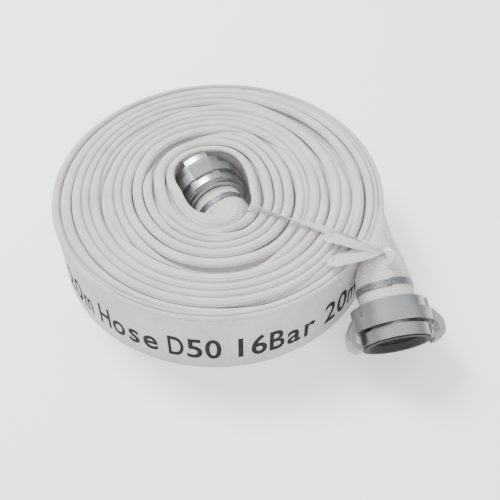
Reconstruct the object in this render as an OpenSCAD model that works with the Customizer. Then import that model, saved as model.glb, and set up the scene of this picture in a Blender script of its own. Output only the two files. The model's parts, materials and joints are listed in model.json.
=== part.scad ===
// A layflat fire hose rolled up flat, with a claw coupling wired onto each end.
// The roll lies on the floor: z = 0 is the floor and +Z is up. One coupling sticks
// out of the roll at the front right, and the other lies in the hole of the roll.

/* [Hose] */
// Width of the hose when it is flat, which is the height of the roll
flat_w = 83; // [60:1:110]
// Thickness of the flattened hose: two jacket walls and two lining walls
flat_t = 3.6; // [3.2:0.1:5]
// Thickness of the woven jacket
jacket_t = 0.9; // [0.6:0.1:1.2]
// Free play between one turn and the next
turn_gap = 0.3; // [0.1:0.1:0.5]

/* [Roll] */
// Outer radius of the roll
roll_r = 170; // [165:1:200]
// Number of whole half turns, an odd number
half_turns = 55; // [41:2:55]
// Direction, from the middle of the roll, where the outer end leaves it
leave_angle = -8; // [-12:1:-4]
// Length of the straight stretch after the outer end leaves the roll
leave_len = 35; // [25:1:40]
// Part of the last half turn that is left before the hose bends to the inner coupling
last_turn = 62; // [50:1:75]

/* [Coupling] */
// Radius of the waterway
bore_r = 21.5; // [19:0.5:22]
// Radius of the ridged tail that the hose is pushed over
tail_r = 25.5; // [24:0.5:26]
// Distance from the front face to the end of the tail
shank_len = 62; // [60:1:66]
// Radius of the shank's head
head_r = 35; // [34:0.5:36]
// Radius of the wide ring that carries the claws
ring_r = 39.5; // [38:0.5:41]
// Radius of the claws
claw_r = 48.5; // [46:0.5:49]
// Half of the angle that a claw spans
claw_half = 15; // [10:1:20]
// Turn of the claws about the axis, outer coupling
outer_claw_turn = 0; // [-20:1:20]
// Turn of the claws about the axis, inner coupling
inner_claw_turn = -102; // [-110:1:-70]

/* [Tie] */
// Width of the film tape that ties the roll
tape_w = 9; // [6:1:15]
// Thickness of the tape, drawn plain
tape_t = 0.4; // [0.3:0.1:0.6]

/* [Hidden] */
$fn = 96;

// The middle of the roll, placed so that the whole object is centred on the origin.
roll_x = -25.4;
roll_y = 2.2;

pitch = flat_t + turn_gap;
first_r = roll_r - flat_t / 2;
lining_t = flat_t - 2 * jacket_t;
hose_r = tail_r + flat_t / 2;
lining_end_r = tail_r + lining_t / 2;
join = 0.4;
blend_t = flat_t - 2 * join;

// Each coupling: the centre of its front face, its heading and its dip below level.
outer_face = [174, -161, 33.2];
outer_head = -80;
outer_dip = 19.6;
inner_face = [-20, 42, 49.2];
inner_head = 116;
inner_dip = 0;

// Stations along a coupling, measured back from the front face.
head_len = 11.5;
groove_len = 2.5;
ring_len = 12;
neck_len = 12;
neck_r = 36;
snap_len = 1.6;
snap_r = 32;
neck_end = head_len + groove_len + ring_len + neck_len;
snap_end = neck_end + 0.3 + snap_len;
run_gap = 0.1;
hub_r = 29;
seal_r = 33;
seal_bore_r = 24;
seal_depth = 7;
seal_proud = 1.2;
wire_r = 0.8;
wire_turns = 3;
wire_station = 53;

// The tape goes through the hole, over the top, down the side and under the roll.
tape_angle = -28;
tape_in_r = 57;
tape_out_r = 167;
tape_groove = 0.7;
knot_at = [159.5, -88.5, 87.2];
knot_r = 4.2;
bow_len = 50;
bow_w = 11;

function turn_r(k) = first_r - k * pitch / 2;
function turn_x(k) = k % 2 == 0 ? 0 : -pitch / 2;

// Puts its children, drawn about the middle of the roll, into the part's frame.
module in_roll() translate([roll_x, roll_y, 0]) children();

// Puts a coupling, drawn with its front face at z = 0 and facing +Z, in its place.
module at_coupling(face, head, dip, turn)
    in_roll() translate(face) rotate([0, 0, head]) rotate([0, 90 + dip, 0])
        rotate([0, 0, 90 + turn]) children();

module at_outer(turn = 0) at_coupling(outer_face, outer_head, outer_dip, turn) children();
module at_inner(turn = 0) at_coupling(inner_face, inner_head, inner_dip, turn) children();

// A ring about the local axis between two stations behind the front face.
module ring(r_in, r_out, front, back)
    translate([0, 0, -back]) rotate_extrude() translate([r_in, 0]) square([r_out - r_in, back - front]);

// ---------------------------------------------------------------- hose

// One half turn of the flat hose, or the first part of one.
module half_turn(k, sweep = 180)
    translate([turn_x(k), 0, 0]) rotate([0, 0, k % 2 == 0 ? 0 : 180])
        rotate_extrude(angle = sweep)
            translate([turn_r(k) - flat_t / 2, 0]) square([flat_t, flat_w]);

// Shallow dent that the tape presses into the lower edge of every turn.
module tape_dent()
    rotate([0, 0, tape_angle - leave_angle])
        translate([tape_in_r - 3, -tape_w / 2 - 0.5, -1]) cube([130, tape_w + 1, 1 + tape_groove]);

// The rolled hose with its straight outer stretch. The tape crosses the odd half turns.
module rolled_hose()
    rotate([0, 0, leave_angle]) {
        for (k = [0 : 2 : half_turns]) half_turn(k);
        for (k = [1 : 2 : half_turns - 1]) difference() {
            half_turn(k);
            tape_dent();
        }
        half_turn(half_turns, last_turn);
        translate([first_r - flat_t / 2, -leave_len, 0]) cube([flat_t, leave_len, flat_w]);
    }

// Thin slab just inside the end of the straight outer stretch.
module outer_slab()
    rotate([0, 0, leave_angle])
        translate([first_r - blend_t / 2, join - leave_len, join])
            cube([blend_t, 2 * join, flat_w - 2 * join]);

// Thin slab just inside the inner end of the last turn.
module inner_slab()
    rotate([0, 0, leave_angle]) translate([turn_x(half_turns), 0, 0])
        rotate([0, 0, 180 + last_turn])
            translate([turn_r(half_turns) - blend_t / 2, -3 * join, join])
                cube([blend_t, 2 * join, flat_w - 2 * join]);

// Disc just behind a coupling's tail, where the hose starts to close up. It is a little
// larger than the sleeve, whose end sinks into it.
module tail_disc() translate([0, 0, -shank_len - 1]) cylinder(r = hose_r + 0.3, h = 1, $fn = 32);

// The hose between the flat roll and the round tail, at the outer and the inner end.
module outer_blend() hull() {
    in_roll() outer_slab();
    at_outer() tail_disc();
}

module inner_blend() hull() {
    in_roll() inner_slab();
    at_inner() tail_disc();
}

module jacket_sleeve() ring(lining_end_r, hose_r, snap_end + 0.4, shank_len + join);
module lining_sleeve() color([0.12, 0.12, 0.13]) ring(tail_r, lining_end_r, snap_end + 0.4, shank_len);

module hose_jacket()
    color([0.86, 0.86, 0.84]) {
        in_roll() rolled_hose();
        outer_blend();
        inner_blend();
        at_outer() jacket_sleeve();
        at_inner() jacket_sleeve();
    }

// ---------------------------------------------------------------- coupling

// Body of the coupling: head, hub, collar and ridged tail around the waterway.
module shank()
    color([0.74, 0.75, 0.77]) difference() {
        union() {
            ring(bore_r, head_r, 0, head_len);
            ring(bore_r, hub_r, head_len, neck_end + 0.3);
            ring(bore_r, hub_r - 1.5, neck_end + 0.3, snap_end);
            ring(bore_r, tail_r, snap_end, shank_len);
        }
        ring(bore_r - 1, seal_r, -1, seal_depth);
        tail_grooves();
    }

// Shallow grooves that leave ridges on the tail.
module tail_grooves()
    for (s = [snap_end + 4 : 4 : shank_len - 3]) ring(tail_r - 0.6, tail_r + 1, s, s + 2);

// Side outline of a claw: radius against distance in front of the face.
module claw_outline()
    polygon([
        [neck_r - 2, -27], [ring_r + 1, -27.5], [claw_r - 1, -17], [claw_r, -14],
        [claw_r, -7], [claw_r - 1.5, -2], [claw_r - 7, 2.5], [head_r + 1.2, 2.5],
        [head_r + 1.2, -1.5], [claw_r - 7, -4], [claw_r - 5.5, -8],
        [claw_r - 6.5, -13], [ring_r - 4, -16],
    ]);

module claw()
    rotate([0, 0, -claw_half]) rotate_extrude(angle = 2 * claw_half) claw_outline();

// Low pad on the neck that a wrench takes hold of.
module neck_pad()
    rotate([0, 0, -26]) rotate_extrude(angle = 52)
        translate([neck_r - 1, 1 - neck_end]) square([3, neck_len]);

// Swivelling cage: neck, wide ring and two claws.
module cage()
    color([0.78, 0.79, 0.81]) {
        ring(hub_r + run_gap, neck_r, head_len + groove_len + 1, neck_end);
        ring(hub_r + run_gap, ring_r, head_len + groove_len, neck_end - neck_len);
        for (side = [0, 180]) rotate([0, 0, side]) {
            claw();
            neck_pad();
        }
    }

module seal()
    color([0.06, 0.06, 0.065]) {
        difference() {
            ring(seal_bore_r, seal_r, -seal_proud, seal_depth);
            translate([0, 0, -seal_depth + 2]) cylinder(r1 = seal_bore_r, r2 = seal_r - 3, h = 9);
        }
    }

// Split steel ring that keeps the cage on the shank.
module retaining_ring()
    color([0.83, 0.84, 0.86]) ring(hub_r - 1.5, snap_r, neck_end + 0.3, snap_end);

// Turns of soft wire that bind the hose to the tail.
module binding_wire()
    color([0.55, 0.56, 0.57]) translate([0, 0, -wire_station]) rotate_extrude() {
        for (i = [0 : wire_turns - 1])
            translate([hose_r + wire_r, -i * 1.9 * wire_r]) circle(r = wire_r);
        translate([hose_r, -(wire_turns - 1) * 1.9 * wire_r]) square([wire_r, (wire_turns - 1) * 1.9 * wire_r]);
    }

// ---------------------------------------------------------------- tie

module tie_tape()
    color([0.88, 0.9, 0.9, 0.6]) in_roll() rotate([0, 0, tape_angle])
        translate([tape_in_r, -tape_w / 2, 0.15]) difference() {
            cube([tape_out_r - tape_in_r, tape_w, flat_w + 0.25]);
            translate([tape_t, -1, tape_t])
                cube([tape_out_r - tape_in_r - 2 * tape_t, tape_w + 2, flat_w + 0.25 - 2 * tape_t]);
        }

module tie_knot()
    color([0.9, 0.92, 0.92, 0.7]) in_roll() translate(knot_at) sphere(r = knot_r, $fn = 48);

// One loop of the bow, a flat ring of film lying on the roll.
module bow_loop(heading)
    translate(knot_at) rotate([0, 0, heading]) translate([knot_r - 1, -bow_w / 2, -3]) difference() {
        cube([bow_len, bow_w, 6]);
        translate([-1, -1, 0.5]) cube([bow_len + 0.4, bow_w + 2, 5]);
    }

module tie_bow()
    color([0.9, 0.92, 0.92, 0.7]) in_roll() difference() {
        for (heading = [165, 203]) bow_loop(heading);
        translate(knot_at) sphere(r = knot_r, $fn = 48);
    }

hose_jacket();
at_outer() lining_sleeve();  // outer_lining
at_inner() lining_sleeve();  // inner_lining
at_outer() shank();  // outer_shank
at_outer(outer_claw_turn) cage();  // outer_cage
at_outer() seal();  // outer_seal
at_outer() retaining_ring();  // outer_retaining_ring
at_outer() binding_wire();  // outer_binding_wire
at_inner() shank();  // inner_shank
at_inner(inner_claw_turn) cage();  // inner_cage
at_inner() seal();  // inner_seal
at_inner() retaining_ring();  // inner_retaining_ring
at_inner() binding_wire();  // inner_binding_wire
tie_tape();
tie_knot();
tie_bow();
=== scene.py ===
"""A rolled white layflat fire hose with an aluminium claw coupling on each end.

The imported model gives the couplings, the joints and the room that the roll takes. This script
dresses the couplings and makes the woven hose, its print, the binding wires and the film tie.
"""

import json
import logging
import math
from dataclasses import dataclass, field
from enum import Enum
from typing import Any, Callable, Sequence

import bmesh
import bpy
import numpy as np
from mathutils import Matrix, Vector

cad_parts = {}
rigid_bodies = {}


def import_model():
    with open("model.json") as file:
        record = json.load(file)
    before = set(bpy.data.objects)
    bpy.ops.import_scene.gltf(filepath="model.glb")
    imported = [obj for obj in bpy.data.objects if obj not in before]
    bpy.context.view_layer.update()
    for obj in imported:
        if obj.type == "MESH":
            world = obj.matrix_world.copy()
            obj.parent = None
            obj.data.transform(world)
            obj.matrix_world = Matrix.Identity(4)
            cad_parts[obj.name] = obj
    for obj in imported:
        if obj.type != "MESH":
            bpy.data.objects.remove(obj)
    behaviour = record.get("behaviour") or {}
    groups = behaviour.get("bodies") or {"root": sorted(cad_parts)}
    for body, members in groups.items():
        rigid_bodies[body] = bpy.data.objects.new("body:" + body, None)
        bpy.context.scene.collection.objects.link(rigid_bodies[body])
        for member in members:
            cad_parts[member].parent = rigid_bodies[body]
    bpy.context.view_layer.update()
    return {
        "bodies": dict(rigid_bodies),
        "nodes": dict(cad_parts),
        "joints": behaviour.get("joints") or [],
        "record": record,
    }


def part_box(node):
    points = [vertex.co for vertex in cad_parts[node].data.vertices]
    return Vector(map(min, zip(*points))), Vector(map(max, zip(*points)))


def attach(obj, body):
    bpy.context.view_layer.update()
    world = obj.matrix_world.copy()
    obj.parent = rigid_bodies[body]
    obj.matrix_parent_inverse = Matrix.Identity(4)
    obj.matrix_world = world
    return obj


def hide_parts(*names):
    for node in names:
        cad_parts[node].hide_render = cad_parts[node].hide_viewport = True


LOG = logging.getLogger("fire_hose")
MM = 0.001
HOSE_BODY = "hose"


class End(Enum):
    """The two ends of the hose, named as their nodes are."""

    OUTER = "outer"
    INNER = "inner"


# ---------------------------------------------------------------- helpers


def linear(hex_colour: str) -> tuple[float, float, float, float]:
    """Turns an sRGB hex colour into linear RGBA.

    Args:
        hex_colour: six hex digits after a hash.

    Returns:
        Linear red, green, blue and an alpha of 1.
    """
    digits = hex_colour.lstrip("#")
    parts = [int(digits[i : i + 2], 16) / 255 for i in (0, 2, 4)]
    low = [c / 12.92 if c <= 0.04045 else ((c + 0.055) / 1.055) ** 2.4 for c in parts]
    return (low[0], low[1], low[2], 1.0)


def add_node(
    tree: bpy.types.NodeTree, kind: str, settings: dict[str, Any], inputs: dict[Any, Any]
) -> bpy.types.Node:
    """Adds a shader node, sets its options and feeds its inputs.

    Args:
        tree: the node tree.
        kind: the node's type name.
        settings: attribute names and values.
        inputs: input names or numbers, each with a value or with a socket to link.

    Returns:
        The new node.
    """
    node = tree.nodes.new(kind)
    for name, value in settings.items():
        setattr(node, name, value)
    for name, value in inputs.items():
        if isinstance(value, bpy.types.NodeSocket):
            tree.links.new(value, node.inputs[name])
        else:
            node.inputs[name].default_value = value
    return node


def new_material(name: str) -> tuple[bpy.types.Material, bpy.types.NodeTree, bpy.types.Node]:
    """Makes a node material.

    Args:
        name: what the material is and how its surface was made.

    Returns:
        The material, its node tree and its Principled shader.
    """
    material = bpy.data.materials.new(name)
    material.use_nodes = True
    tree = material.node_tree
    return material, tree, tree.nodes["Principled BSDF"]


def wave_scale(period: float) -> float:
    """Gives the Wave texture scale whose bands repeat every period metres."""
    return math.pi / (10 * period)


def add_piece(
    name: str,
    verts: np.ndarray,
    faces: Sequence[Sequence[int]],
    material: bpy.types.Material,
    body: str,
) -> bpy.types.Object:
    """Makes a smooth-shaded mesh piece that rides on a body.

    Args:
        name: the piece's name.
        verts: vertex positions in metres.
        faces: vertex numbers of each face.
        material: the finish.
        body: the body that it moves with.

    Returns:
        The new object.
    """
    mesh = bpy.data.meshes.new(name)
    mesh.from_pydata(np.asarray(verts, float).tolist(), [], [list(f) for f in faces])
    mesh.materials.append(material)
    mesh.polygons.foreach_set("use_smooth", [True] * len(mesh.polygons))
    mesh.update()
    piece = bpy.data.objects.new(name, mesh)
    bpy.context.scene.collection.objects.link(piece)
    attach(piece, body)
    return piece


def smoothstep(x: np.ndarray | float) -> np.ndarray:
    """Eases from 0 to 1 as x goes from 0 to 1."""
    t = np.clip(x, 0.0, 1.0)
    return t * t * (3 - 2 * t)


def around(angle: np.ndarray, knots: dict[float, float]) -> np.ndarray:
    """Reads a smooth closed curve of values round the circle.

    Args:
        angle: angles in degrees.
        knots: values at angles in degrees.

    Returns:
        The value at each angle.
    """
    keys = sorted(knots)
    grid = np.arange(0, 360, 2.0)
    raw = np.interp(grid, keys, [knots[k] for k in keys], period=360)
    reach = np.arange(-12, 13)
    bell = np.exp(-((reach / 5.0) ** 2))
    soft = sum(w * np.roll(raw, int(k)) for w, k in zip(bell, reach)) / bell.sum()
    return np.interp(np.mod(angle, 360), grid, soft, period=360)


def unit(v: np.ndarray) -> np.ndarray:
    """Scales vectors, one a row, to length 1."""
    return v / np.linalg.norm(v, axis=-1, keepdims=True)


def smooth_path(points: Sequence[Sequence[float]], steps: int) -> np.ndarray:
    """Runs a smooth curve through a few points.

    Args:
        points: the points to pass through.
        steps: samples between each two points.

    Returns:
        The samples, one a row.
    """
    p = np.asarray(points, float)
    p = np.vstack([2 * p[0] - p[1], p, 2 * p[-1] - p[-2]])
    out = []
    for i in range(1, len(p) - 2):
        for t in np.arange(steps) / steps:
            a, b, c, d = p[i - 1], p[i], p[i + 1], p[i + 2]
            out.append(
                0.5 * (2 * b + (c - a) * t + (2 * a - 5 * b + 4 * c - d) * t**2
                       + (3 * b - a - 3 * c + d) * t**3)
            )
    out.append(p[-2])
    return np.array(out)


# ---------------------------------------------------------------- finishes


@dataclass(frozen=True)
class WovenPolyester:
    """Circular-woven polyester jacket, undyed: a matt warm white with fine ribs of weft."""

    light: str = "#dddad8"
    soiled: str = "#cdc9c5"
    roughness: float = 0.88
    weft_spacing: float = 2.4 * MM
    warp_spacing: float = 1.8 * MM

    def material(self) -> bpy.types.Material:
        """Builds the weave from two crossed bands of threads, in metres along and round the hose.

        Real threads are about 1 mm apart; they are drawn about twice as coarse, so that the
        weave still shows at arm's length.

        Returns:
            The jacket's finish.
        """
        material, tree, shader = new_material("woven polyester, undyed")
        uv = add_node(tree, "ShaderNodeUVMap", {"uv_map": "weave"}, {})
        weft = add_node(
            tree, "ShaderNodeTexWave", {"bands_direction": "X"},
            {"Vector": uv.outputs[0], "Scale": wave_scale(self.weft_spacing), "Distortion": 0.6,
             "Detail": 1.0, "Detail Scale": 2.0},
        )
        warp = add_node(
            tree, "ShaderNodeTexWave", {"bands_direction": "Y"},
            {"Vector": uv.outputs[0], "Scale": wave_scale(self.warp_spacing), "Distortion": 0.4,
             "Detail": 1.0, "Detail Scale": 2.0},
        )
        cloth = add_node(
            tree, "ShaderNodeMath", {"operation": "MULTIPLY"},
            {0: weft.outputs["Fac"], 1: warp.outputs["Fac"]},
        )
        where = add_node(tree, "ShaderNodeTexCoord", {}, {})
        soil = add_node(
            tree, "ShaderNodeTexNoise", {},
            {"Vector": where.outputs["Object"], "Scale": 26.0, "Detail": 6.0, "Roughness": 0.6},
        )
        patch = add_node(
            tree, "ShaderNodeMapRange", {},
            {"Value": soil.outputs["Fac"], "From Min": 0.42, "From Max": 0.72},
        )
        base = add_node(
            tree, "ShaderNodeMix", {"data_type": "RGBA"},
            {0: patch.outputs[0], 6: linear(self.light), 7: linear(self.soiled)},
        )
        # Painted shade and light: the colour follows the weave's height, as the bump does, darker
        # in the low places between the threads and a little lighter on their tops.
        threads = add_node(
            tree, "ShaderNodeMapRange", {},
            {"Value": cloth.outputs[0], "To Min": 0.84, "To Max": 1.06},
        )
        woven = add_node(
            tree, "ShaderNodeVectorMath", {"operation": "SCALE"},
            {0: base.outputs[2], "Scale": threads.outputs[0]},
        )
        bump = add_node(
            tree, "ShaderNodeBump", {},
            {"Height": cloth.outputs[0], "Strength": 0.9, "Distance": 0.7 * MM},
        )
        tree.links.new(woven.outputs[0], shader.inputs["Base Color"])
        tree.links.new(bump.outputs[0], shader.inputs["Normal"])
        shader.inputs["Roughness"].default_value = self.roughness
        shader.inputs["Sheen Weight"].default_value = 0.15
        shader.inputs["Sheen Roughness"].default_value = 0.5
        return material


@dataclass(frozen=True)
class CastAluminium:
    """Die-cast and turned aluminium: satin silver with a faint grain and dulled patches."""

    bright: str = "#b9b9ba"
    dull: str = "#87888a"
    smooth: float = 0.22
    rough: float = 0.42
    grain: float = 0.7 * MM

    def material(self) -> bpy.types.Material:
        """Builds cloudy dulling from noise and a shallow bump of cast grain.

        Returns:
            The couplings' finish.
        """
        material, tree, shader = new_material("cast aluminium, turned")
        where = add_node(tree, "ShaderNodeTexCoord", {}, {})
        cloud = add_node(
            tree, "ShaderNodeTexNoise", {},
            {"Vector": where.outputs["Object"], "Scale": 55.0, "Detail": 7.0},
        )
        grain = add_node(
            tree, "ShaderNodeTexNoise", {},
            {"Vector": where.outputs["Object"], "Scale": 1 / self.grain, "Detail": 3.0},
        )
        colour = add_node(
            tree, "ShaderNodeMix", {"data_type": "RGBA"},
            {0: cloud.outputs["Fac"], 6: linear(self.bright), 7: linear(self.dull)},
        )
        shine = add_node(
            tree, "ShaderNodeMapRange", {},
            {"Value": cloud.outputs["Fac"], "From Min": 0.3, "From Max": 0.7,
             "To Min": self.smooth, "To Max": self.rough},
        )
        bump = add_node(
            tree, "ShaderNodeBump", {},
            {"Height": grain.outputs["Fac"], "Strength": 0.35, "Distance": 0.12 * MM},
        )
        tree.links.new(colour.outputs[2], shader.inputs["Base Color"])
        tree.links.new(shine.outputs[0], shader.inputs["Roughness"])
        tree.links.new(bump.outputs[0], shader.inputs["Normal"])
        shader.inputs["Metallic"].default_value = 1.0
        return material


@dataclass(frozen=True)
class Steel:
    """Steel wire or strip; zinc leaves it greyer and more mottled than a bare spring."""

    name: str
    light: str
    dark: str
    roughness: float
    spot: float

    def material(self) -> bpy.types.Material:
        """Builds mottled metal whose spots have a real size.

        Returns:
            The steel.
        """
        material, tree, shader = new_material(self.name)
        where = add_node(tree, "ShaderNodeTexCoord", {}, {})
        spots = add_node(
            tree, "ShaderNodeTexVoronoi", {},
            {"Vector": where.outputs["Object"], "Scale": 1 / self.spot},
        )
        colour = add_node(
            tree, "ShaderNodeMix", {"data_type": "RGBA"},
            {0: spots.outputs["Distance"], 6: linear(self.light), 7: linear(self.dark)},
        )
        bump = add_node(
            tree, "ShaderNodeBump", {},
            {"Height": spots.outputs["Distance"], "Strength": 0.3, "Distance": 0.05 * MM},
        )
        tree.links.new(colour.outputs[2], shader.inputs["Base Color"])
        tree.links.new(bump.outputs[0], shader.inputs["Normal"])
        shader.inputs["Metallic"].default_value = 1.0
        shader.inputs["Roughness"].default_value = self.roughness
        return material


@dataclass(frozen=True)
class MouldedRubber:
    """Black moulded rubber: nearly matt, with a fine pebbled skin."""

    colour: str = "#161617"
    raised_pebble_highlight: str = "#29292a"
    roughness: float = 0.6
    pebble: float = 0.6 * MM

    def material(self) -> bpy.types.Material:
        """Builds black rubber with a little dust in its low places.

        Returns:
            The rubber.
        """
        material, tree, shader = new_material("moulded black rubber")
        where = add_node(tree, "ShaderNodeTexCoord", {}, {})
        skin = add_node(
            tree, "ShaderNodeTexNoise", {},
            {"Vector": where.outputs["Object"], "Scale": 1 / self.pebble, "Detail": 2.0},
        )
        # Painted highlight: the colour turns lighter grey where the pebbled skin stands high,
        # following the bump's height.
        colour = add_node(
            tree, "ShaderNodeMix", {"data_type": "RGBA"},
            {0: skin.outputs["Fac"], 6: linear(self.colour), 7: linear(self.raised_pebble_highlight)},
        )
        bump = add_node(
            tree, "ShaderNodeBump", {},
            {"Height": skin.outputs["Fac"], "Strength": 0.25, "Distance": 0.08 * MM},
        )
        tree.links.new(colour.outputs[2], shader.inputs["Base Color"])
        tree.links.new(bump.outputs[0], shader.inputs["Normal"])
        shader.inputs["Roughness"].default_value = self.roughness
        return material


@dataclass(frozen=True)
class ClearFilm:
    """Stretched polyethylene film: clear but milky where it is gathered, and shiny."""

    tint: str = "#dde2db"
    alpha: float = 0.55
    roughness: float = 0.22
    crease: float = 3.0 * MM

    def material(self) -> bpy.types.Material:
        """Builds a glossy see-through skin with soft creases along it.

        Returns:
            The film.
        """
        material, tree, shader = new_material("polyethylene film, stretched")
        where = add_node(tree, "ShaderNodeTexCoord", {}, {})
        creases = add_node(
            tree, "ShaderNodeTexNoise", {},
            {"Vector": where.outputs["Object"], "Scale": 1 / self.crease, "Detail": 2.0},
        )
        bump = add_node(
            tree, "ShaderNodeBump", {},
            {"Height": creases.outputs["Fac"], "Strength": 0.5, "Distance": 0.6 * MM},
        )
        tree.links.new(bump.outputs[0], shader.inputs["Normal"])
        shader.inputs["Base Color"].default_value = linear(self.tint)
        shader.inputs["Roughness"].default_value = self.roughness
        shader.inputs["Alpha"].default_value = self.alpha
        shader.inputs["Coat Weight"].default_value = 0.3
        return material


@dataclass(frozen=True)
class StampedInk:
    """Black stamping ink that has soaked into the weave, so its edges and middles are uneven."""

    solid: str = "#0e0e11"
    worn: str = "#2b2b2e"

    def material(self) -> bpy.types.Material:
        """Builds matt ink that thins where the threads stand up.

        Returns:
            The ink.
        """
        material, tree, shader = new_material("stamping ink on cloth")
        where = add_node(tree, "ShaderNodeTexCoord", {}, {})
        wear = add_node(
            tree, "ShaderNodeTexNoise", {},
            {"Vector": where.outputs["Object"], "Scale": 420.0, "Detail": 3.0},
        )
        thin = add_node(
            tree, "ShaderNodeMapRange", {},
            {"Value": wear.outputs["Fac"], "From Min": 0.55, "From Max": 0.8},
        )
        colour = add_node(
            tree, "ShaderNodeMix", {"data_type": "RGBA"},
            {0: thin.outputs[0], 6: linear(self.solid), 7: linear(self.worn)},
        )
        tree.links.new(colour.outputs[2], shader.inputs["Base Color"])
        shader.inputs["Roughness"].default_value = 0.9
        return material


# ---------------------------------------------------------------- couplings


@dataclass
class Coupling:
    """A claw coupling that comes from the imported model, with its axis read from its joint."""

    end: End
    frame: dict[str, Any]
    shank_len: float = 62 * MM
    hose_r: float = 27.3 * MM
    lining_r: float = 26.4 * MM
    hose_start: float = 40.4 * MM
    wire_station: float = 54.5 * MM
    wire_r: float = 0.8 * MM
    wire_turns: int = 5
    face: np.ndarray = field(init=False)
    axis: np.ndarray = field(init=False)

    def __post_init__(self) -> None:
        """Reads the face's middle and the way it looks from the cage's joint."""
        joint = next(
            j for j in self.frame["joints"] if j["name"] == f"{self.end.value}_cage_swivel"
        )
        self.face = np.array(joint["pos_m"], float)
        self.axis = unit(np.array(joint["axis"], float))

    def at(self, station: float) -> np.ndarray:
        """Gives the point on the axis at a distance behind the face."""
        return self.face - station * self.axis

    def sides(self) -> tuple[np.ndarray, np.ndarray]:
        """Gives the level direction to the side of the axis and the one across both."""
        side = unit(np.cross(self.axis, [0.0, 0.0, 1.0]))
        return side, np.cross(side, self.axis)

    def dress(self, finishes: dict[str, bpy.types.Material]) -> None:
        """Gives each node of the coupling its finish.

        Args:
            finishes: finishes by the last word or words of a node's name.
        """
        for part, material in finishes.items():
            node = self.frame["nodes"][f"{self.end.value}_{part}"]
            node.data.materials.clear()
            node.data.materials.append(material)

    def bind(self, material: bpy.types.Material) -> bpy.types.Object:
        """Winds soft wire round the hose and twists its ends together.

        Args:
            material: the wire's finish.

        Returns:
            The wire, which stands for the plain wire node.
        """
        side, up = self.sides()
        turns, radius = self.wire_turns, self.hose_r - 0.5 * MM + self.wire_r
        angle = np.linspace(0, 2 * math.pi * turns, turns * 40 + 1)
        along = self.wire_station + (angle / (2 * math.pi) - turns / 2) * 1.75 * self.wire_r
        loops = (
            self.at(0.0)
            - along[:, None] * self.axis
            + radius * (np.sin(angle)[:, None] * side + np.cos(angle)[:, None] * up)
        )
        tube = Tube(self.wire_r, 8)
        verts, faces = tube.sweep(loops)
        for phase in (0.0, math.pi):
            t = np.linspace(0, 1, 28)
            swirl = phase + t * 3.2 * 2 * math.pi
            lift = radius + self.wire_r * 1.6
            tail = (
                self.at(0.0)
                - (self.wire_station + (0.5 - t) * 13 * MM)[:, None] * self.axis
                - lift * up
                + self.wire_r * 0.95
                * (np.cos(swirl)[:, None] * side + np.sin(swirl)[:, None] * up)
            )
            more, skin = tube.sweep(tail)
            faces += [[i + len(verts) for i in f] for f in skin]
            verts = np.vstack([verts, more])
        wire = add_piece(
            f"{self.end.value}_wire_turns", verts, faces, material, HOSE_BODY
        )
        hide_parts(f"{self.end.value}_binding_wire")
        return wire


@dataclass
class Tube:
    """A round skin swept along a path."""

    radius: float
    sides: int

    def sweep(self, path: np.ndarray) -> tuple[np.ndarray, list[list[int]]]:
        """Sweeps the skin along a path with a frame that doesn't twist.

        Args:
            path: points in metres.

        Returns:
            Vertices, and faces with closed ends.
        """
        heading = unit(np.gradient(path, axis=0))
        normal = np.cross(heading[0], [0.0, 0.0, 1.0])
        if np.linalg.norm(normal) < 0.1:
            normal = np.cross(heading[0], [1.0, 0.0, 0.0])
        normal = unit(normal)
        turn = np.arange(self.sides) * 2 * math.pi / self.sides
        rows = []
        for point, ahead in zip(path, heading):
            normal = unit(normal - np.dot(normal, ahead) * ahead)
            across = np.cross(ahead, normal)
            ring = np.cos(turn)[:, None] * normal + np.sin(turn)[:, None] * across
            rows.append(point + self.radius * ring)
        verts = np.vstack(rows)
        faces = ring_faces(len(path), self.sides)
        faces.append(list(range(self.sides))[::-1])
        faces.append([len(verts) - self.sides + i for i in range(self.sides)])
        return verts, faces


def ring_faces(rings: int, sides: int) -> list[list[int]]:
    """Lists the faces between rings of vertices.

    Args:
        rings: the number of rings.
        sides: vertices in each ring.

    Returns:
        Vertex numbers of each face.
    """
    faces = []
    for i in range(rings - 1):
        for j in range(sides):
            k = (j + 1) % sides
            faces.append([i * sides + j, i * sides + k, (i + 1) * sides + k, (i + 1) * sides + j])
    return faces


# ---------------------------------------------------------------- hose


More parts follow.
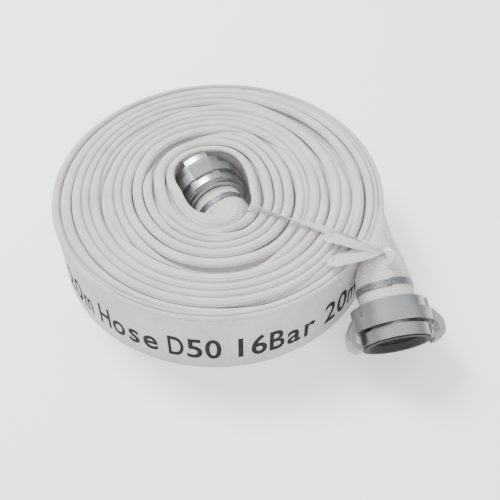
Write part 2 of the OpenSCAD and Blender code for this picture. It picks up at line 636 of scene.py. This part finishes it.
@dataclass
class RolledHose:
    """The flat hose from coupling to coupling: a flattened tube wound from the inner end."""

    outer: Coupling
    inner: Coupling
    radius: float = 170 * MM
    flat_w: float = 83 * MM
    flat_t: float = 3.5 * MM
    turns: float = 28.6
    leave_angle: float = -8.0
    length: float = 20.0
    per_turn: int = 120
    blend_rings: int = 30
    sleeve_rings: int = 22
    fold_period: float = 2.55
    fold_drop: float = 8.5 * MM
    fold_half_max: float = 5.8 * MM
    tape_in: tuple[float, float] = (33 * MM, -31 * MM)
    tape_out: tuple[float, float] = (150 * MM, -79.8 * MM)
    centre: np.ndarray = field(init=False)

    # Distance from the middle of the roll to the middle of the innermost turn, by direction.
    # The turn lies tight against the inner coupling, so the hole isn't round.
    hole: dict[float, float] = field(
        default_factory=lambda: {
            0: 37.5 * MM, 20: 39 * MM, 39: 43 * MM, 60: 52.5 * MM, 80: 61 * MM, 116: 62.5 * MM,
            140: 60.5 * MM, 165: 53.5 * MM, 188: 50 * MM, 215: 50.5 * MM, 245: 55 * MM,
            270: 57 * MM, 300: 54 * MM, 330: 45 * MM,
        }
    )
    # How far the innermost turn's upper edge leans over the coupling, by direction.
    lean: dict[float, float] = field(
        default_factory=lambda: {
            0: 7 * MM, 60: 6 * MM, 90: 3 * MM, 120: 0.5 * MM, 150: 0.5 * MM, 168: 5 * MM,
            188: 12 * MM, 215: 12 * MM, 240: 8 * MM, 270: 5 * MM, 320: 6 * MM,
        }
    )
    # The outermost turn bulges outwards: how far, how many turns in, and over how many.
    slack: float = 2.4 * MM
    slack_at: float = 0.52
    slack_width: float = 0.17
    # Pull of the line at the coupling's tail and at the roll, and the other way round inside.
    outer_bend: tuple[float, float] = (24 * MM, 38 * MM)
    inner_bend: tuple[float, float] = (40 * MM, 34 * MM)
    # Places where a few turns have slipped down and leave a groove, as a share of the way in.
    groove_a: dict[float, float] = field(
        default_factory=lambda: {0: 0.46, 60: 0.41, 125: 0.36, 190: 0.42, 260: 0.5, 320: 0.49}
    )
    groove_b: dict[float, float] = field(
        default_factory=lambda: {0: 0.6, 90: 0.64, 180: 0.66, 250: 0.69, 320: 0.62}
    )
    groove_depths: tuple[float, float] = (4.5 * MM, 3 * MM)

    def __post_init__(self) -> None:
        """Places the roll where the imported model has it."""
        low, high = (np.array(c, float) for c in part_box("hose_jacket"))
        self.centre = np.array([low[0] + self.radius, high[1] - self.radius, 0.0])

    def spiral(self) -> tuple[np.ndarray, np.ndarray, np.ndarray]:
        """Winds the middle line of the roll from its outer end inwards.

        Returns:
            Points, the number of turns from the outer end, and the direction in degrees.
        """
        count = int(round(self.turns * self.per_turn)) + 1
        wound = np.arange(count) / self.per_turn
        angle = self.leave_angle + 360 * wound
        rim = self.radius - self.flat_t / 2
        slack = self.slack * np.exp(-(((wound - self.slack_at) / self.slack_width) ** 2))
        share = wound / self.turns
        reach = rim - (rim - around(angle, self.hole)) * share + slack
        rad = np.radians(angle)
        middle = 0 * reach + self.flat_w / 2
        points = np.stack([np.cos(rad) * reach, np.sin(rad) * reach, middle], 1)
        return points + self.centre, wound, angle

    def edge_drop(self, wound: np.ndarray, angle: np.ndarray) -> np.ndarray:
        """Says how far each turn's upper edge lies below the tallest ones.

        The folded edges are thicker than the rest of the hose and push each other up and
        down, so that one tall fold covers the edges of the next turn or two.

        Args:
            wound: the number of turns from the outer end.
            angle: the direction in degrees.

        Returns:
            The drop at each station.
        """
        share = wound / self.turns
        phase = 2 * math.pi * wound / self.fold_period + 0.9 * np.sin(wound * 0.83)
        sunk = smoothstep((0.45 - np.cos(phase)) / 0.42)
        sunk *= smoothstep(wound - 0.9) * smoothstep((self.turns - wound - 0.6) / 0.5)
        drop = self.fold_drop * sunk
        for groove, depth in zip((self.groove_a, self.groove_b), self.groove_depths):
            drop += depth * np.exp(-(((share - around(angle, groove)) / 0.02) ** 2))
        return drop + 0.5 * MM * (1 + np.sin(wound * 2.9 + 0.7))

    def bulges(self, points: np.ndarray, drop: np.ndarray) -> tuple[np.ndarray, np.ndarray]:
        """Works out how wide each upper fold can swell on its outer and inner side.

        A fold swells over a neighbour that sits lower, up to halfway to the next tall one.

        Args:
            points: the middle line of the roll.
            drop: how far each turn's upper edge lies below the tallest.

        Returns:
            The fold's half-width towards the outside and towards the middle.
        """
        n, half = self.per_turn, self.flat_t / 2
        reach = np.linalg.norm((points - self.centre)[:, :2], axis=1)
        count = len(reach)
        result = []
        for step in (-n, n):
            near, far, third = (
                np.clip(np.arange(count) + k * step, 0, count - 1) for k in (1, 2, 3)
            )
            free = (np.arange(count) + step < 0) | (np.arange(count) + step >= count)
            gap = np.abs(reach[near] - reach)
            lower = smoothstep((drop[near] - drop) / (0.8 * self.fold_drop))
            both = lower * smoothstep((drop[far] - drop) / (0.8 * self.fold_drop))
            higher = smoothstep((drop - drop[near]) / (0.8 * self.fold_drop))
            width = np.minimum(gap / 2 - 0.05 * MM, 2.1 * MM)
            width = width + lower * (np.abs(reach[far] - reach) / 2 - 0.1 * MM - width)
            width = width + both * (np.abs(reach[third] - reach) / 2 - 0.1 * MM - width)
            width = width + higher * (gap - half - 0.15 * MM - width)
            result.append(np.where(free, 3.2 * MM, np.clip(width, half, self.fold_half_max)))
        return result[0], result[1]

    def flat_sections(
        self, height: np.ndarray, out_w: np.ndarray, in_w: np.ndarray, lean: np.ndarray
    ) -> np.ndarray:
        """Draws the flattened tube's outline at every station.

        Args:
            height: height of the upper edge.
            out_w: half-width of the upper fold on the outer side.
            in_w: half-width of the upper fold on the inner side.
            lean: how far the upper edge leans towards the middle.

        Returns:
            Sideways and vertical places, with shape (stations, outline points, 2).
        """
        half = self.flat_t / 2
        low_fold = 1.9 * MM
        columns: list[tuple[np.ndarray, np.ndarray]] = []
        for sign, width in ((1, out_w), (-1, in_w)):
            tall = 0.62 * width + 1.0 * MM
            side: list[tuple[np.ndarray, np.ndarray]] = []
            for f in np.radians([0, 26, 50, 72, 90]):
                side.append((width * math.sin(f), height - tall * (1 - math.cos(f))))
            for k in (1, 2, 3):
                ease = 0.5 + 0.5 * math.cos(math.pi * k / 3)
                below = height - tall - k * (0.24 * width + 0.4 * MM)
                side.append((half + (width - half) * ease, below))
            top = side[-1][1]
            for k in (0.75, 0.5, 0.25):
                side.append((0 * height + half, low_fold * 2 + (top - low_fold * 2) * k))
            side.append((0 * height + half, 0 * height + low_fold * 2))
            for f in np.radians([90, 60, 30]):
                side.append(
                    (0 * height + low_fold * math.sin(f), 0 * height + low_fold * (1 - math.cos(f)))
                )
            if sign > 0:
                columns += [(sign * x, z) for x, z in side]
            else:
                columns.append((0 * height, 0 * height))
                columns += [(sign * x, z) for x, z in side[::-1]][:-1]
        section = np.stack([np.stack(c, 1) for c in columns], 1)
        rise = (section[:, :, 1] - 0.52 * self.flat_w) / (0.48 * self.flat_w)
        bow = np.where(rise > 0, np.abs(rise) ** 2.7, 0.35 * np.abs(rise) ** 2)
        section[:, :, 0] -= lean[:, None] * bow
        return section

    def round_sections(self, radius: np.ndarray, sides: int) -> np.ndarray:
        """Draws circles with as many points as the flat outline.

        Args:
            radius: the circle's radius at every station.
            sides: the number of points.

        Returns:
            Sideways and vertical places from the circle's middle.
        """
        angle = 2 * math.pi * np.arange(sides) / sides
        return radius[:, None, None] * np.stack([np.sin(angle), np.cos(angle)], 1)[None]

    def sleeve(self, coupling: Coupling) -> tuple[np.ndarray, np.ndarray]:
        """Follows the tail of a coupling from its back end to the end of the hose.

        Args:
            coupling: the coupling in that end.

        Returns:
            Points on the axis and the hose's outer radius at each, ending in the cut edge.
        """
        station = np.linspace(coupling.shank_len, coupling.hose_start + 0.4 * MM, self.sleeve_rings)
        pinch = 0.5 * MM * np.exp(-(((station - coupling.wire_station) / (3 * MM)) ** 2))
        swell = 0.35 * MM * np.sin(station / (4 * MM) * 2 * math.pi) ** 2
        radius = coupling.hose_r - pinch + 0.4 * swell
        cut, bore = coupling.hose_start, coupling.lining_r
        station = np.append(station, [cut, cut, cut + 5 * MM])
        radius = np.append(radius, [coupling.hose_r - 0.4 * MM, bore, bore])
        return coupling.face - station[:, None] * coupling.axis, radius

    def build(self, material: bpy.types.Material) -> bpy.types.Object:
        """Makes the whole woven hose as one skin.

        Args:
            material: the jacket's finish.

        Returns:
            The hose, which stands for the plain rolled jacket.
        """
        points, wound, angle = self.spiral()
        drop = self.edge_drop(wound, angle)
        out_w, in_w = self.bulges(points, drop)
        depth = np.exp(-(((self.turns - wound) / 4.2) ** 1.2))
        lean = around(angle, self.lean) * depth
        height = self.flat_w + 0.6 * MM - drop

        first, last = points[0], points[-1]
        leave = unit(points[0] - points[1])
        enter = unit(points[-1] - points[-2])
        t = np.linspace(0, 1, self.blend_rings + 2)[1:-1]
        out_end, in_end = self.outer.at(self.outer.shank_len), self.inner.at(self.inner.shank_len)
        out_blend = bezier(
            out_end, out_end - self.outer.axis * self.outer_bend[0],
            first + leave * self.outer_bend[1], first, t,
        )
        in_blend = bezier(
            last, last + enter * self.inner_bend[0],
            in_end - self.inner.axis * self.inner_bend[1], in_end, t,
        )
        out_sleeve, out_r = self.sleeve(self.outer)
        in_sleeve, in_r = self.sleeve(self.inner)
        line = np.vstack([out_sleeve[::-1], out_blend, points, in_blend, in_sleeve])
        lead, trail = len(out_sleeve) + len(t), len(t) + len(in_sleeve)

        def stretch(values: np.ndarray) -> np.ndarray:
            """Repeats the roll's end values along both ends of the hose."""
            return np.concatenate([np.full(lead, values[0]), values, np.full(trail, values[-1])])

        flat = self.flat_sections(stretch(height), stretch(out_w), stretch(in_w), stretch(lean))
        flat[:, :, 1] -= self.flat_w / 2
        radius = np.concatenate([
            out_r[::-1], np.full(len(t) + len(points) + len(t), self.outer.hose_r), in_r
        ])
        circle = self.round_sections(radius, flat.shape[1])
        opened = np.concatenate([
            np.ones(len(out_sleeve)), smoothstep(1 - t * 0.97) ** 1.2, np.zeros(len(points)),
            smoothstep(t * 0.97) ** 1.2, np.ones(len(in_sleeve)),
        ])[:, None, None]
        section = flat * (1 - opened) + circle * opened

        heading = self.headings(line, len(out_sleeve), len(in_sleeve))
        side = unit(np.cross(heading, [0.0, 0.0, 1.0]))
        up = np.cross(side, heading)
        verts = line[:, None] + section[:, :, :1] * side[:, None] + section[:, :, 1:] * up[:, None]
        self.press_tape(verts)
        rings, sides = verts.shape[:2]
        hose = add_piece(
            "woven_hose", verts.reshape(-1, 3), ring_faces(rings, sides), material, HOSE_BODY,
        )
        self.lay_weave(hose, verts)
        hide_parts("hose_jacket")
        return hose

    def headings(self, line: np.ndarray, lead: int, trail: int) -> np.ndarray:
        """Gives the way the hose runs at each station, straight on the two tails.

        Args:
            line: the middle line of the hose.
            lead: the number of stations on the outer tail.
            trail: the number of stations on the inner tail.

        Returns:
            Directions, one a row.
        """
        heading = np.gradient(line, axis=0)
        heading[:lead] = -self.outer.axis
        heading[-trail:] = self.inner.axis
        return unit(heading)

    def press_tape(self, verts: np.ndarray) -> None:
        """Lifts the lower edges a little where the tape passes under them.

        Args:
            verts: the hose's vertices by station, changed in place.
        """
        start, stop = (np.array(p) + self.centre[:2] for p in (self.tape_in, self.tape_out))
        run = unit(stop - start)
        offset = verts[:, :, :2] - start
        across = np.abs(run[0] * offset[..., 1] - run[1] * offset[..., 0])
        ahead = offset @ run
        under = (across < 7 * MM) & (ahead > -12 * MM) & (verts[..., 2] < 1.2 * MM)
        verts[..., 2] = np.where(under, np.maximum(verts[..., 2], 0.6 * MM), verts[..., 2])

    def lay_weave(self, hose: bpy.types.Object, verts: np.ndarray) -> None:
        """Lays texture coordinates in metres along and round the hose.

        Args:
            hose: the hose.
            verts: its vertices by station.
        """
        rings, sides = verts.shape[:2]
        strides = np.linalg.norm(np.diff(verts.mean(1), axis=0), axis=1)
        along = np.concatenate([[0], np.cumsum(strides)])
        steps = np.linalg.norm(np.roll(verts, -1, axis=1) - verts, axis=2).mean(0)
        around_it = np.concatenate([[0], np.cumsum(steps)])
        layer = hose.data.uv_layers.new(name="weave")
        i = np.repeat(np.arange(rings - 1), sides)
        j = np.tile(np.arange(sides), rings - 1)
        u = np.stack([along[i], along[i], along[i + 1], along[i + 1]], 1)
        v = np.stack([around_it[j], around_it[j + 1], around_it[j + 1], around_it[j]], 1)
        layer.data.foreach_set("uv", np.stack([u, v], 2).ravel())


def bezier(a: np.ndarray, b: np.ndarray, c: np.ndarray, d: np.ndarray, t: np.ndarray) -> np.ndarray:
    """Samples a cubic curve from a to d that leaves towards b and arrives from c."""
    s = t[:, None]
    return a * (1 - s) ** 3 + 3 * b * s * (1 - s) ** 2 + 3 * c * s**2 * (1 - s) + d * s**3


@dataclass
class SizeStamp:
    """Generic size marking stamped along the outer turn: bore, pressure and length."""

    hose: RolledHose
    words: str = "20m Hose D50 16Bar 20m"
    letter_h: float = 32 * MM
    letter_w: float = 0.8
    advance: float = 18 * MM
    space: float = 0.45
    boldness: float = 0.02
    start_angle: float = -152.6
    base_z: float = 18 * MM
    lift: float = 0.15 * MM

    def letters(self) -> bmesh.types.BMesh:
        """Makes evenly spaced flat letters, cut into upright strips so that they can bend.

        Returns:
            The letters, with the middle of the first one at x = 0.
        """
        flat = bmesh.new()
        place = 0.0
        for letter in self.words:
            if letter == " ":
                place += self.space
                continue
            curve = bpy.data.curves.new("stamp", "FONT")
            curve.body = letter
            curve.size = self.letter_h / 0.73
            curve.offset = self.boldness * curve.size
            text = bpy.data.objects.new("stamp", curve)
            bpy.context.scene.collection.objects.link(text)
            mesh = bpy.data.meshes.new_from_object(text)
            bpy.data.objects.remove(text)
            across = [v.co.x for v in mesh.vertices]
            middle = (min(across) + max(across)) / 2
            squeeze = min(self.letter_w, 0.86 * self.advance / (max(across) - min(across)))
            for vert in mesh.vertices:
                vert.co.x = (vert.co.x - middle) * squeeze + place * self.advance
            place += 1
            flat.from_mesh(mesh)
            bpy.data.meshes.remove(mesh)
        for x in np.arange(-self.advance, place * self.advance, 3.07 * MM):
            parts = flat.verts[:] + flat.edges[:] + flat.faces[:]
            bmesh.ops.bisect_plane(flat, geom=parts, plane_co=(x, 0, 0), plane_no=(1, 0, 0))
        bmesh.ops.triangulate(flat, faces=flat.faces[:])
        return flat

    def build(self, material: bpy.types.Material) -> bpy.types.Object:
        """Wraps the letters round the outer turn.

        Args:
            material: the ink.

        Returns:
            The print.
        """
        flat = self.letters()
        points, _, angle = self.hose.spiral()
        line = points[: self.hose.per_turn]
        begin = int(np.searchsorted(angle, self.start_angle % 360))
        steps = np.linalg.norm(np.diff(line, axis=0), axis=1)
        along = np.concatenate([[0], np.cumsum(steps)])
        along -= along[begin]
        heading = unit(np.gradient(line, axis=0))
        side = np.cross(heading, [0.0, 0.0, 1.0])
        skin = line + side * (self.hose.flat_t / 2 + self.lift)
        for vert in flat.verts:
            place = [np.interp(vert.co.x, along, skin[:, k]) for k in (0, 1)]
            vert.co = Vector((place[0], place[1], self.base_z + vert.co.y))
        mesh = bpy.data.meshes.new("size_stamp")
        flat.to_mesh(mesh)
        flat.free()
        mesh.materials.append(material)
        piece = bpy.data.objects.new("size_stamp", mesh)
        bpy.context.scene.collection.objects.link(piece)
        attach(piece, HOSE_BODY)
        return piece


# ---------------------------------------------------------------- tie


@dataclass
class FilmTie:
    """Gathered film tape through the hole and over the rim, tied in a bow."""

    hose: RolledHose
    thickness: float = 0.15 * MM

    def place(self, points: Sequence[Sequence[float]]) -> list[np.ndarray]:
        """Puts points given in millimetres from the middle of the roll into the frame."""
        return [np.array(p, float) * MM + self.hose.centre for p in points]

    def ribbon(
        self,
        name: str,
        path: np.ndarray,
        width: Callable[[np.ndarray], np.ndarray],
        pleat: float,
        twist: float,
        material: bpy.types.Material,
    ) -> bpy.types.Object:
        """Makes a pleated strip of film along a path.

        Args:
            name: the piece's name.
            path: its middle line in metres.
            width: the strip's width as a function of the share of the way along.
            pleat: how deep its lengthwise pleats are.
            twist: turns that the strip makes along the path.
            material: the film.

        Returns:
            The strip.
        """
        t = np.linspace(0, 1, len(path))
        heading = unit(np.gradient(path, axis=0))
        up = np.array([0.0, 0.0, 1.0]) - heading[:, 2:] * heading
        flat_on = np.abs(heading[:, 2]) > 0.96
        outward = path - self.hose.centre
        outward[:, 2] = 0
        outward = unit(outward)
        up[flat_on] = outward[flat_on]
        up = unit(up)
        across = np.cross(heading, up)
        turn = 2 * math.pi * twist * t[:, None]
        normal = up * np.cos(turn) + across * np.sin(turn)
        wide = np.cross(heading, normal)
        columns = 9
        rows = []
        for k in range(columns):
            place = (k / (columns - 1) - 0.5) * width(t)
            fold = pleat * math.cos(math.pi * k) * (1 + 0.5 * np.sin(9 * t + k))
            rows.append(path + wide * place[:, None] + normal * fold[:, None])
        verts = np.stack(rows, 1).reshape(-1, 3)
        faces = [
            [i * columns + j, i * columns + j + 1, (i + 1) * columns + j + 1, (i + 1) * columns + j]
            for i in range(len(path) - 1)
            for j in range(columns - 1)
        ]
        strip = add_piece(name, verts, faces, material, HOSE_BODY)
        thick = strip.modifiers.new("film thickness", "SOLIDIFY")
        thick.thickness = self.thickness
        thick.offset = 0
        return strip

    def build(self, material: bpy.types.Material) -> list[bpy.types.Object]:
        """Makes the band, the knot, two bow loops and two loose tails.

        Args:
            material: the film.

        Returns:
            The pieces.
        """
        band = self.place([
            (33, -31, 3), (33, -31, 40), (32, -31.5, 74), (31.5, -32, 84.5), (38, -34, 87.0),
            (62, -43, 86.2), (95, -57, 86.6), (122, -69, 86.4), (145, -81, 87.0), (158, -88, 87.6),
        ])
        strand = self.ribbon(
            "tie_band", smooth_path(band, 12), lambda t: (5.5 + 2.5 * t) * MM, 0.5 * MM, 1.5,
            material,
        )
        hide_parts("tie_tape")
        under = self.place([
            (160, -88.5, 86.0), (163, -84, 70), (157.5, -82.5, 45), (152.5, -81, 12),
            (150, -79.8, 0.9), (144, -77.3, 0.32), (100, -58.9, 0.3), (60, -42.3, 0.3),
            (36, -32.2, 0.7), (33, -31, 3),
        ])
        route = smooth_path(under, 12)
        route[:, 2] = np.maximum(route[:, 2], 0.3 * MM)
        lower = self.ribbon(
            "tie_band_lower", route, lambda t: (9 + 0 * t) * MM, 0.12 * MM, 0.0, material
        )
        pieces = [strand, lower]
        for name, heading, length, rise in (
            ("bow_loop_upper", 166.0, 50 * MM, 9 * MM), ("bow_loop_lower", 200.0, 50 * MM, 7 * MM)
        ):
            pieces.append(self.loop(name, heading, length, rise, material))
        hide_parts("tie_bow")
        pieces.append(self.knot(material))
        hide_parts("tie_knot")
        tails = (
            ("tie_tail_a", [(160, -89, 89), (165, -93, 91), (167, -99, 89.5), (165, -107, 87)]),
            ("tie_tail_b", [(160, -88, 89), (164, -80, 92), (166, -72, 91), (163, -64, 88)]),
        )
        for name, points in tails:
            tail = self.ribbon(
                name, smooth_path(self.place(points), 8), lambda t: (5 + 7 * t) * MM, 0.35 * MM,
                0.2, material,
            )
            pieces.append(tail)
        return pieces

    def loop(
        self, name: str, heading: float, length: float, rise: float, material: bpy.types.Material
    ) -> bpy.types.Object:
        """Makes one loop of the bow, a strip that goes out from the knot and comes back.

        Args:
            name: the piece's name.
            heading: the way it points, in degrees.
            length: how far it reaches.
            rise: how high it arches.
            material: the film.

        Returns:
            The loop.
        """
        start = self.place([(159.5, -88.5, 87.5)])[0]
        away = np.array([math.cos(math.radians(heading)), math.sin(math.radians(heading)), 0.0])
        side = np.array([-away[1], away[0], 0.0])
        t = np.linspace(0, 2 * math.pi, 60)
        path = (
            start
            + (length * (1 - np.cos(t)) / 2)[:, None] * away
            + (3.5 * MM * np.sin(t))[:, None] * side
        )
        path[:, 2] += -0.5 * MM + rise * np.sin(t / 2) ** 2 * (0.45 + 0.55 * np.sin(t))
        strip = self.ribbon(
            name, path, lambda s: (3 + 11 * np.sin(math.pi * s) ** 0.8) * MM, 0.35 * MM, 0.0,
            material,
        )
        return strip

    def knot(self, material: bpy.types.Material) -> bpy.types.Object:
        """Makes the overhand knot, a tight three-lobed tube.

        Args:
            material: the film.

        Returns:
            The knot.
        """
        middle = self.place([(159.5, -88.5, 88.0)])[0]
        t = np.linspace(0, 2 * math.pi, 73)
        path = middle + 1.45 * MM * np.stack(
            [np.sin(t) + 2 * np.sin(2 * t), np.cos(t) - 2 * np.cos(2 * t), -np.sin(3 * t) * 0.9], 1
        )
        verts, faces = Tube(1.5 * MM, 8).sweep(path)
        return add_piece("tie_knot_turns", verts, faces, material, HOSE_BODY)


# ---------------------------------------------------------------- studio


@dataclass
class Studio:
    """A pale floor, soft lights and the camera."""

    middle: np.ndarray
    elevation: float = 50.0
    distance: float = 0.845
    focal: float = 58.2
    look_at: tuple[float, float, float] = (0.033, -0.0465, 0.0366)
    floor_half: float = 14.0

    def camera(self) -> None:
        """Sets the camera in front of the roll, looking down on it."""
        data = bpy.data.cameras.new("camera")
        data.sensor_width = 36.0
        data.lens = self.focal
        camera = bpy.data.objects.new("camera", data)
        bpy.context.scene.collection.objects.link(camera)
        rise = math.radians(self.elevation)
        target = Vector(self.look_at) + Vector(self.middle)
        camera.location = target + self.distance * Vector((0.0, -math.cos(rise), math.sin(rise)))
        camera.rotation_euler = (math.pi / 2 - rise, 0.0, 0.0)
        bpy.context.scene.camera = camera

    def floor(self) -> None:
        """Lays a flat, matt, pale floor."""
        mesh = bpy.data.meshes.new("floor")
        half = self.floor_half
        corners = [(-half, -half, 0), (half, -half, 0), (half, half, 0), (-half, half, 0)]
        mesh.from_pydata(corners, [], [(0, 1, 2, 3)])
        material, _, shader = new_material("studio paper, white")
        shader.inputs["Base Color"].default_value = linear("#f7f7f7")
        shader.inputs["Roughness"].default_value = 0.95
        shader.inputs["Specular IOR Level"].default_value = 0.1
        shader.inputs["Emission Color"].default_value = linear("#ffffff")
        shader.inputs["Emission Strength"].default_value = 0.6
        mesh.materials.append(material)
        floor = bpy.data.objects.new("floor", mesh)
        bpy.context.scene.collection.objects.link(floor)

    def light(
        self, name: str, place: tuple[float, float, float], size: float, watts: float
    ) -> None:
        """Adds a soft square light that faces the frame's origin.

        Args:
            name: the light's name.
            place: where it hangs, in metres.
            size: the length of its side in metres.
            watts: its power.
        """
        data = bpy.data.lights.new(name, "AREA")
        data.size = size
        data.energy = watts
        lamp = bpy.data.objects.new(name, data)
        lamp.location = place
        lamp.rotation_euler = (-Vector(place)).to_track_quat("-Z", "Y").to_euler()
        bpy.context.scene.collection.objects.link(lamp)

    def lights(self) -> None:
        """Adds a key from the back left, a fill from the front and a sky brighter overhead."""
        self.light("key", (-1.0, 0.9, 1.7), 0.8, 74.0)
        self.light("fill", (0.5, -1.6, 1.5), 1.6, 14.0)
        world = bpy.data.worlds.new("sky")
        world.use_nodes = True
        tree = world.node_tree
        background = tree.nodes["Background"]
        where = add_node(tree, "ShaderNodeTexCoord", {}, {})
        height = add_node(tree, "ShaderNodeSeparateXYZ", {}, {0: where.outputs["Generated"]})
        shade = add_node(
            tree, "ShaderNodeMapRange", {"interpolation_type": "SMOOTHSTEP"},
            {"Value": height.outputs["Z"], "From Min": 0.05, "From Max": 0.8, "To Min": 0.4,
             "To Max": 1.5},
        )
        background.inputs["Color"].default_value = linear("#f6f7f8")
        tree.links.new(shade.outputs[0], background.inputs["Strength"])
        bpy.context.scene.world = world


def main() -> None:
    """Builds the scene in order: camera, hose, couplings, print and tie."""
    logging.basicConfig(level=logging.INFO, format="%(message)s")
    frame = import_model()
    outer = Coupling(End.OUTER, frame)
    inner = Coupling(End.INNER, frame)
    hose = RolledHose(outer, inner)
    studio = Studio(hose.centre)
    studio.camera()

    woven = hose.build(WovenPolyester().material())
    LOG.info("hose: %d vertices", len(woven.data.vertices))
    aluminium = CastAluminium().material()
    rubber = MouldedRubber().material()
    spring = Steel("spring steel, bright", "#d9dadc", "#b4b6b9", 0.28, 2 * MM).material()
    zinc = Steel("zinc-coated soft wire", "#a5a7aa", "#6f7275", 0.45, 1.5 * MM).material()
    finishes = {
        "shank": aluminium,
        "cage": aluminium,
        "seal": rubber,
        "lining": rubber,
        "retaining_ring": spring,
    }
    for coupling in (outer, inner):
        coupling.dress(finishes)
        coupling.bind(zinc)
        LOG.info("%s coupling dressed", coupling.end.value)
    stamp = SizeStamp(hose).build(StampedInk().material())
    LOG.info("stamp: %d vertices", len(stamp.data.vertices))
    for piece in FilmTie(hose).build(ClearFilm().material()):
        LOG.info("tie: %s", piece.name)
    studio.floor()
    studio.lights()


if __name__ == "__main__":
    main()
